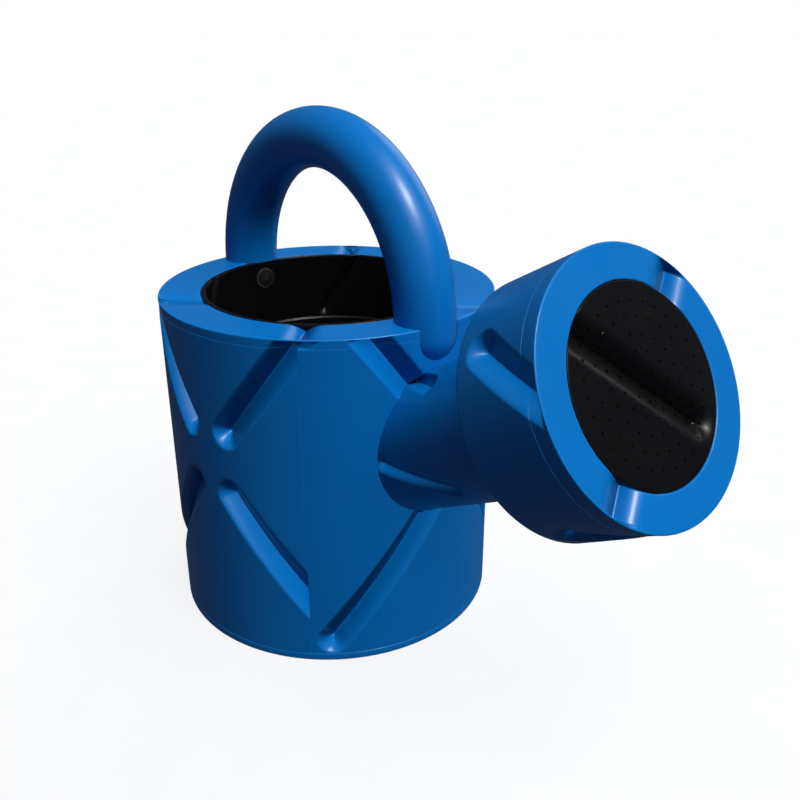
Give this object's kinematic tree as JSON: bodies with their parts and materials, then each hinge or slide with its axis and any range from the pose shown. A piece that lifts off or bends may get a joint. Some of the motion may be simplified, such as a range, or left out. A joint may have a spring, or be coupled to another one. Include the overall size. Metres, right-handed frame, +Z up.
{
  "type": "watering can",
  "caption": "Round watering can with a grooved jacket, black inner liner, fixed arched handle and a slanted spout carrying a large drum-shaped rose that pulls off and turns.",
  "frame": {"origin": "centre of the flat underside, where the body's vertical axis meets the ground", "axes": "+Z up along the body's axis, +X towards the spout and rose, +Y to the left of the pouring direction"},
  "size_m": [0.3645, 0.2, 0.303],
  "materials": {
    "blue_plastic": "glossy moulded plastic in deep blue",
    "black_plastic": "satin black moulded plastic",
    "rubber": "matte black sealing rubber",
    "steel": "stainless steel",
    "black_steel": "blackened steel",
    "brass": "turned brass"
  },
  "bodies": {
    "can": {"base_plate": "blue_plastic", "base_screws": "steel", "shell_panel_front": "blue_plastic", "shell_panel_left": "blue_plastic", "shell_panel_rear": "blue_plastic", "shell_panel_right": "blue_plastic", "rim_ring": "blue_plastic", "rim_seal": "rubber", "inner_liner": "black_plastic", "outlet_stub": "black_plastic", "handle_tube": "blue_plastic", "handle_bolts": "black_steel", "handle_inserts": "brass", "bolt_washers": "rubber", "spout_tube": "blue_plastic", "spout_seal": "rubber"},
    "rose_bush": {"rose_bush": "black_plastic", "rose_o_ring": "rubber", "rose_clip": "steel"},
    "rose": {"rose_shell": "blue_plastic", "rose_ring": "blue_plastic", "rose_seal": "rubber", "rose_plate": "black_plastic"}
  },
  "joints": [
    {"name": "rose_pull", "type": "slide", "parent": "can", "child": "rose_bush", "axis": [0.866, 0, 0.5], "range_m": [0, 0.03]},
    {"name": "rose_turn", "type": "hinge", "parent": "rose_bush", "child": "rose", "pos_m": [0.228, 0, 0.207], "axis": [0.866, 0, 0.5], "continuous": true}
  ]
}
